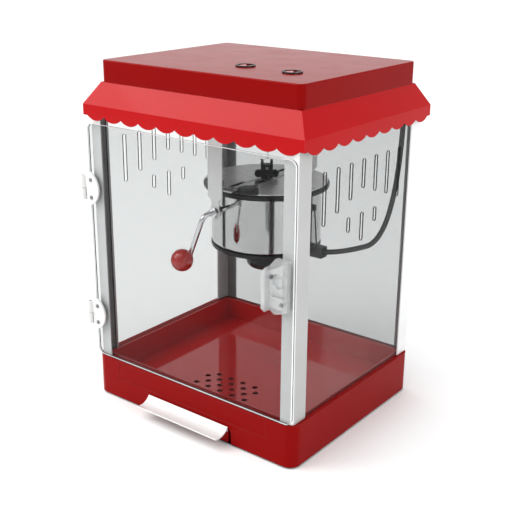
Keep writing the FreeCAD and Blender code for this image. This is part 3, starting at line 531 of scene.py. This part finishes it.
# ---- Stage ----------------------------------------------------------------------------------------
class POPCORN_OT_stage(bpy.types.Operator):
    """Camera, pale floor and soft studio light"""
    bl_idname = "popcorn.stage"
    bl_label = "Stage"

    def execute(self, context):
        camera_data = bpy.data.cameras.new("camera")
        camera_data.sensor_width = 36.0
        camera_data.lens = 64.47
        camera_data.clip_start = 0.05
        camera = bpy.data.objects.new("camera", camera_data)
        context.scene.collection.objects.link(camera)
        camera.location = (0.668475, -0.846745, 0.57230)
        toward = Vector((0.002485, 0.010065, 0.18816)) - camera.location
        aim = toward.to_track_quat("-Z", "Y").to_matrix().to_4x4()
        camera.rotation_euler = (aim @ Matrix.Rotation(math.radians(0.38), 4, "Z")).to_euler()
        context.scene.camera = camera

        plane = bmesh.new()
        bmesh.ops.create_grid(plane, x_segments=2, y_segments=2, size=20.0)
        mesh = bpy.data.meshes.new("floor")
        plane.to_mesh(mesh)
        plane.free()
        floor = bpy.data.objects.new("floor", mesh)
        context.scene.collection.objects.link(floor)
        mesh.materials.append(surface("stage_floor", colours().floor, 0.55, 0.70, patch=0.01))

        context.scene.view_settings.view_transform = "Standard"
        context.scene.view_settings.look = "Medium High Contrast"
        world = bpy.data.worlds.new("studio")
        context.scene.world = world
        world.use_nodes = True
        tree = world.node_tree
        lit = tree.nodes["Background"]
        lit.inputs["Color"].default_value = (1.0, 1.0, 1.0, 1.0)
        lit.inputs["Strength"].default_value = 0.72
        seen = tree.nodes.new("ShaderNodeBackground")
        seen.inputs["Strength"].default_value = 1.0
        seen.inputs["Color"].default_value = (1.0, 1.0, 1.0, 1.0)
        rays = tree.nodes.new("ShaderNodeLightPath")
        mix = tree.nodes.new("ShaderNodeMixShader")
        tree.links.new(rays.outputs["Is Camera Ray"], mix.inputs["Fac"])
        tree.links.new(lit.outputs["Background"], mix.inputs[1])
        tree.links.new(seen.outputs["Background"], mix.inputs[2])
        tree.links.new(mix.outputs["Shader"], tree.nodes["World Output"].inputs["Surface"])
        for name, kind, spot, size, power in (
                ("sky", "SUN", (-0.5, -0.6, 2.0), 70.0, 1.15),
                ("key", "AREA", (-1.25, -1.15, 1.45), 1.3, 15.0),
                ("fill", "AREA", (1.9, -0.4, 0.9), 1.1, 8.0)):
            data = bpy.data.lights.new(name, kind)
            data.energy = power
            if kind == "SUN":
                data.angle = math.radians(size)
            else:
                data.size = size
            lamp = bpy.data.objects.new(name, data)
            context.scene.collection.objects.link(lamp)
            lamp.location = spot
            toward = Vector((0.0, 0.0, 0.2)) - Vector(spot)
            lamp.rotation_euler = toward.to_track_quat("-Z", "Y").to_euler()
        return {"FINISHED"}


# ---- Pieces -----------------------------------------------------------------------------------------
class POPCORN_OT_heater_cable(bpy.types.Operator):
    """The black heater cable from the kettle's plug up to the ceiling"""
    bl_idname = "popcorn.heater_cable"
    bl_label = "Heater Cable"

    def execute(self, context):
        route = ((0.080325, 0.036925, 0.2035), (0.102325, 0.036925, 0.2035),
                 (0.139825, 0.122925, 0.2095), (0.139825, 0.122925, 0.384))
        curve = bpy.data.curves.new("heater_route", "CURVE")
        curve.dimensions = "3D"
        curve.resolution_u = 24
        spline = curve.splines.new("NURBS")
        spline.points.add(len(route) - 1)
        for point, spot in zip(spline.points, route):
            point.co = (*spot, 1.0)
        spline.order_u = 3
        spline.use_endpoint_u = True
        line = bpy.data.objects.new("heater_route", curve)
        context.scene.collection.objects.link(line)
        context.view_layer.update()
        path = [tuple(vertex.co) for vertex in bpy.data.meshes.new_from_object(line).vertices]
        curve.bevel_depth = sizes().cable / 2
        curve.bevel_resolution = 6
        curve.use_fill_caps = True
        context.view_layer.update()
        mesh = bpy.data.meshes.new_from_object(
            line.evaluated_get(context.evaluated_depsgraph_get()))
        bpy.data.objects.remove(line)
        mesh.shade_smooth()
        mesh.materials.clear()
        mesh.materials.append(black_rubber())
        piece = bpy.data.objects.new("heater_cable_finished", mesh)
        context.scene.collection.objects.link(piece)
        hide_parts("heater_cable")
        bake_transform(piece)
        kept("cable_gland")
        return {"FINISHED"}


class POPCORN_OT_base(bpy.types.Operator):
    """Base housing, pan, perforated floor, feet and drawer rails"""
    bl_idname = "popcorn.base"
    bl_label = "Base"

    def execute(self, context):
        shape = node_shape("base_housing")
        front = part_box("base_housing")[0].y
        emboss_half, emboss_low, emboss_high, emboss_reach = 0.123, 0.028, 0.053, 0.001

        def on_panel(edge):
            return all(vertex.co.y < front + emboss_reach and abs(vertex.co.x) < emboss_half
                       and emboss_low < vertex.co.z < emboss_high for vertex in edge.verts)

        round_edges(shape, sizes().edge * 1.6, segments=3, least=40.0, keep=lambda edge: not on_panel(edge))
        finished("base_housing_finished", shape, ["base_housing"], [gloss_red()])
        for node in ("pan_walls", "perforated_floor", "rubber_feet", "drawer_rails", "mains_gland"):
            kept(node)
        return {"FINISHED"}


class POPCORN_OT_drawer(bpy.types.Operator):
    """Crumb drawer and its flared white pull"""
    bl_idname = "popcorn.drawer"
    bl_label = "Drawer"

    def execute(self, context):
        softened("drawer_tray", sizes().edge)
        softened("drawer_pull", sizes().moulding_edge, segments=2, least=50.0)
        return {"FINISHED"}


class POPCORN_OT_posts(bpy.types.Operator):
    """Corner posts, gaskets, rear panel, ceiling and strike strip"""
    bl_idname = "popcorn.posts"
    bl_label = "Posts and Rear Panel"

    def execute(self, context):
        for post in ("post_front_left", "post_front_right"):
            shape = node_shape(post)
            round_edges(shape, sizes().edge * 0.6, least=50.0)
            # Painted light: the front faces take the lighter satin white and the other faces the darker
            # frame grey, as lit and shaded copies of one post finish.
            for face in shape.faces:
                face.material_index = 1 if face.normal.y < -0.5 else 0
            finished(post + "_finished", shape, [post], [satin_grey(), satin_white()])
        # The rear posts take the lighter painted copy of the frame grey.
        for post in ("post_rear_left", "post_rear_right"):
            softened(post, sizes().edge * 0.6, [polished_grey_lit()], least=50.0)
        shape = node_shape("gaskets")
        # Painted light: the sideways faces take the frame grey instead of black rubber, lightening the
        # shaded band beside the front posts.
        for face in shape.faces:
            face.material_index = 1 if abs(face.normal.x) > 0.5 else 0
        finished("gaskets_finished", shape, ["gaskets"], [black_rubber(), satin_grey()])
        shape = node_shape("rear_panel")
        # Painted highlight on the rear panel's cut edges.
        for face in shape.faces:
            face.material_index = 0 if abs(face.normal.y) > 0.5 else 1
        seat(shape, *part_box("rear_panel"), (0, 1, 0))
        finished("rear_panel_finished", shape, ["rear_panel"], [clear_back(), painted_edge_highlight()])
        kept("ceiling_plate")
        softened("strike_plate", sizes().edge * 0.4)
        return {"FINISHED"}


class POPCORN_OT_side_panels(bpy.types.Operator):
    """The two clear side panels with their ventilation slots"""
    bl_idname = "popcorn.side_panels"
    bl_label = "Side Panels"

    def execute(self, context):
        for node in ("side_panel_left", "side_panel_right"):
            shape = node_shape(node)
            low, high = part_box(node)
            margin = 0.003
            # Painted light: the slot walls take the painted shade and the outer cut edges the painted
            # highlight.
            for face in shape.faces:
                if abs(face.normal.x) < 0.5:
                    spot = face.calc_center_median()
                    in_slot = (low.y + margin < spot.y < high.y - margin
                               and low.z + margin < spot.z < high.z - margin)
                    face.material_index = 2 if in_slot else 1
            seat(shape, low, high, (1, 0, 0))
            finished(node + "_finished", shape, [node], [clear_side(), painted_edge_highlight(), painted_edge_shade()])
        return {"FINISHED"}


class POPCORN_OT_roof(bpy.types.Operator):
    """Scalloped awning and roof cap"""
    bl_idname = "popcorn.roof"
    bl_label = "Roof"

    def execute(self, context):
        softened("awning", sizes().edge * 0.6, [awning_red_lit()], segments=2, least=20.0)
        softened("roof_cap", sizes().edge * 0.6, segments=2, least=50.0)
        return {"FINISHED"}


class POPCORN_OT_switches(bpy.types.Operator):
    """Round switch bezels with their red rockers"""
    bl_idname = "popcorn.switches"
    bl_label = "Switches"

    def execute(self, context):
        for node in ("switch_bezels", "rocker_heat", "rocker_light"):
            softened(node, 0.0004)
        return {"FINISHED"}


class POPCORN_OT_door(bpy.types.Operator):
    """Clear door, hinges, screws and moulded handle"""
    bl_idname = "popcorn.door"
    bl_label = "Door"

    def execute(self, context):
        shape = node_shape("door_panel")
        low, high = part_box("door_panel")
        outline_width = 0.009
        # Painted light: the front 2.6 mm of the door's cut edge takes the painted highlight and the edge
        # behind it the painted shade, as a bright band with a thin dark line.
        bright_edge = low.y + 0.0026
        bmesh.ops.bisect_plane(shape, geom=shape.verts[:] + shape.edges[:] + shape.faces[:],
                               plane_co=(0, bright_edge, 0), plane_no=(0, 1, 0))
        for face in shape.faces:
            face.material_index = 0 if abs(face.normal.y) > 0.5 else 1
            if face.material_index and face.calc_center_median().y > bright_edge:
                face.material_index = 2

        def outline(edge):
            return all(min(vertex.co.x - low.x, high.x - vertex.co.x, vertex.co.z - low.z,
                           high.z - vertex.co.z) < outline_width for vertex in edge.verts)

        round_edges(shape, 0.0008, segments=1, least=60.0, keep=outline)
        # The rounded outline faces take the painted shade too.
        for face in shape.faces:
            if 0.3 < abs(face.normal.y) < 0.95:
                face.material_index = 2
        finished("door_panel_finished", shape, ["door_panel"], [clear_sheet(), painted_edge_highlight(), painted_edge_shade()])
        softened("hinge_leaves_door", sizes().moulding_edge, segments=3)
        softened("hinge_leaves_fixed", sizes().moulding_edge * 0.7)
        kept("hinge_pins")
        softened("door_screws", 0.00025)
        softened("door_handle", 0.0008, segments=3)
        return {"FINISHED"}


class POPCORN_OT_hangers(bpy.types.Operator):
    """The two plates that the kettle hangs in"""
    bl_idname = "popcorn.hangers"
    bl_label = "Kettle Hangers"

    def execute(self, context):
        for node in ("hanger_front", "hanger_rear"):
            softened(node, 0.0004)
        return {"FINISHED"}


class POPCORN_OT_kettle(bpy.types.Operator):
    """Kettle pot, rim collar, bottom cover, crank, knob and pivots"""
    bl_idname = "popcorn.kettle"
    bl_label = "Kettle"

    def execute(self, context):
        steps = sizes().turns
        low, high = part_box("kettle_pot")
        centre = (low + high) / 2
        radius = (high.x - low.x) / 2
        wall = 0.0012
        bore = 0.0026
        corner, inner_corner, lip = 0.004, 0.003, 0.0004
        outside = ([(bore, low.z), (radius - corner, low.z)]
                   + arc(radius - corner, low.z + corner, corner, -80, 0, 5)
                   + [(radius, high.z - 0.0005), (radius - lip, high.z)])
        inside = ([(radius - wall, high.z), (radius - wall, low.z + 0.005)]
                  + arc(radius - wall - inner_corner, low.z + wall + inner_corner, inner_corner, 0, -80, 5)
                  + [(bore, low.z + wall)])
        finished("kettle_pot_finished", spun(outside + inside, centre, steps), ["kettle_pot"],
                 [mirror_steel()])

        low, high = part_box("rim_collar")
        outer = (high.x - low.x) / 2
        corner = 0.0022
        collar = ([(radius, low.z), (outer - corner, low.z)]
                  + arc(outer - corner, low.z + corner, corner, -75, 0, 4)
                  + arc(outer - corner, high.z - corner, corner, 0, 90, 5) + [(radius, high.z)])
        finished("rim_collar_finished", spun(collar, centre, steps), ["rim_collar"], [black_moulding()])

        low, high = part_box("bottom_cover")
        outer = (high.x - low.x) / 2
        hub = 0.025
        foot = low.z
        step = 0.199
        wall = 0.002
        corner, fillet, dome = 0.0018, 0.003, 0.010
        cover = ([(outer, high.z)] + arc(outer - corner, step + corner, corner, 0, -90, 4)
                 + [(hub + fillet, step)] + arc(hub + fillet, step - fillet, fillet, 90, 180, 4)
                 + arc(hub - dome, foot + dome, dome, 0, -90, 8) + [(0.0, foot)]
                 + [(0.0, foot + wall), (hub - dome, foot + wall)]
                 + [(hub - wall, foot + dome), (hub - wall, step + wall), (outer - wall, step + wall),
                    (outer - wall, high.z)])
        finished("bottom_cover_finished", spun(cover, centre, steps), ["bottom_cover"], [black_moulding()])

        ball = bmesh.new()
        low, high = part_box("crank_ball")
        bmesh.ops.create_uvsphere(ball, u_segments=48, v_segments=32, radius=(high.z - low.z) / 2)
        stem = Vector((0.005, 0.009, 0.0055)).normalized()
        turn = stem.to_track_quat("Z", "Y").to_matrix()
        bmesh.ops.rotate(ball, verts=ball.verts, cent=(0, 0, 0), matrix=turn)
        bmesh.ops.translate(ball, verts=ball.verts, vec=(low + high) / 2)
        finished("crank_ball_finished", ball, ["crank_ball"], [knob_red()])
        softened("crank_rod", 0.0002, [chrome()], least=60.0)
        softened("pivot_nuts", 0.0005, [chrome()])
        softened("latch_tab", 0.0005)
        softened("kettle_plug", 0.0008)
        for node in ("rear_pivot", "heater_plate", "hub_bearing"):
            kept(node)
        return {"FINISHED"}


class POPCORN_OT_lids(bpy.types.Operator):
    """The two hinged lid halves, their finger tabs, bridge and pins"""
    bl_idname = "popcorn.lids"
    bl_label = "Kettle Lids"

    def execute(self, context):
        for node in ("lid_left", "lid_right"):
            softened(node, 0.0003, [satin_steel()])
        softened("lid_bridge", 0.0003, [brushed_steel()])
        kept("lid_pins")
        for node in ("lid_tab_left", "lid_tab_right"):
            softened(node, 0.0005)
        return {"FINISHED"}


class POPCORN_OT_stirring(bpy.types.Operator):
    """Stirrer, winged coupling, set screw and drive shaft"""
    bl_idname = "popcorn.stirring"
    bl_label = "Stirring"

    def execute(self, context):
        softened("wing_coupling", 0.0005)
        softened("set_screw", 0.0002)
        softened("drive_shaft", 0.0002, [chrome()])
        for node in ("stir_shaft", "drive_sleeve"):
            kept(node)
        return {"FINISHED"}


class POPCORN_OT_works(bpy.types.Operator):
    """Gearbox, motor, lamp and the parts hidden above the ceiling"""
    bl_idname = "popcorn.works"
    bl_label = "Hidden Works"

    def execute(self, context):
        for node in ("gearbox", "stir_motor", "motor_bracket", "lamp_holder", "lamp_bulb"):
            kept(node)
        return {"FINISHED"}


operators = (POPCORN_OT_stage, POPCORN_OT_heater_cable, POPCORN_OT_base, POPCORN_OT_drawer,
             POPCORN_OT_posts, POPCORN_OT_side_panels, POPCORN_OT_roof, POPCORN_OT_switches,
             POPCORN_OT_door, POPCORN_OT_hangers, POPCORN_OT_kettle, POPCORN_OT_lids,
             POPCORN_OT_stirring, POPCORN_OT_works)


class POPCORN_PT_panel(bpy.types.Panel):
    """Lists the machine's pieces and settings"""
    bl_idname = "POPCORN_PT_panel"
    bl_label = "Popcorn Maker"
    bl_space_type = "VIEW_3D"
    bl_region_type = "UI"
    bl_category = "Popcorn Maker"

    def draw(self, context):
        column = self.layout.column()
        for settings in (context.scene.popcorn_colours, context.scene.popcorn_sizes):
            for name in settings.__annotations__:
                column.prop(settings, name)
        for operator in operators:
            column.operator(operator.bl_idname)


classes = (PopcornColours, PopcornSizes) + operators + (POPCORN_PT_panel,)


def register():
    for cls in classes:
        bpy.utils.register_class(cls)
    bpy.types.Scene.popcorn_colours = bpy.props.PointerProperty(type=PopcornColours)
    bpy.types.Scene.popcorn_sizes = bpy.props.PointerProperty(type=PopcornSizes)


def unregister():
    del bpy.types.Scene.popcorn_sizes
    del bpy.types.Scene.popcorn_colours
    for cls in reversed(classes):
        bpy.utils.unregister_class(cls)


def main():
    register()
    for operator in operators:
        group, name = operator.bl_idname.split(".")
        getattr(getattr(bpy.ops, group), name)()


if __name__ == "__main__":
    main()
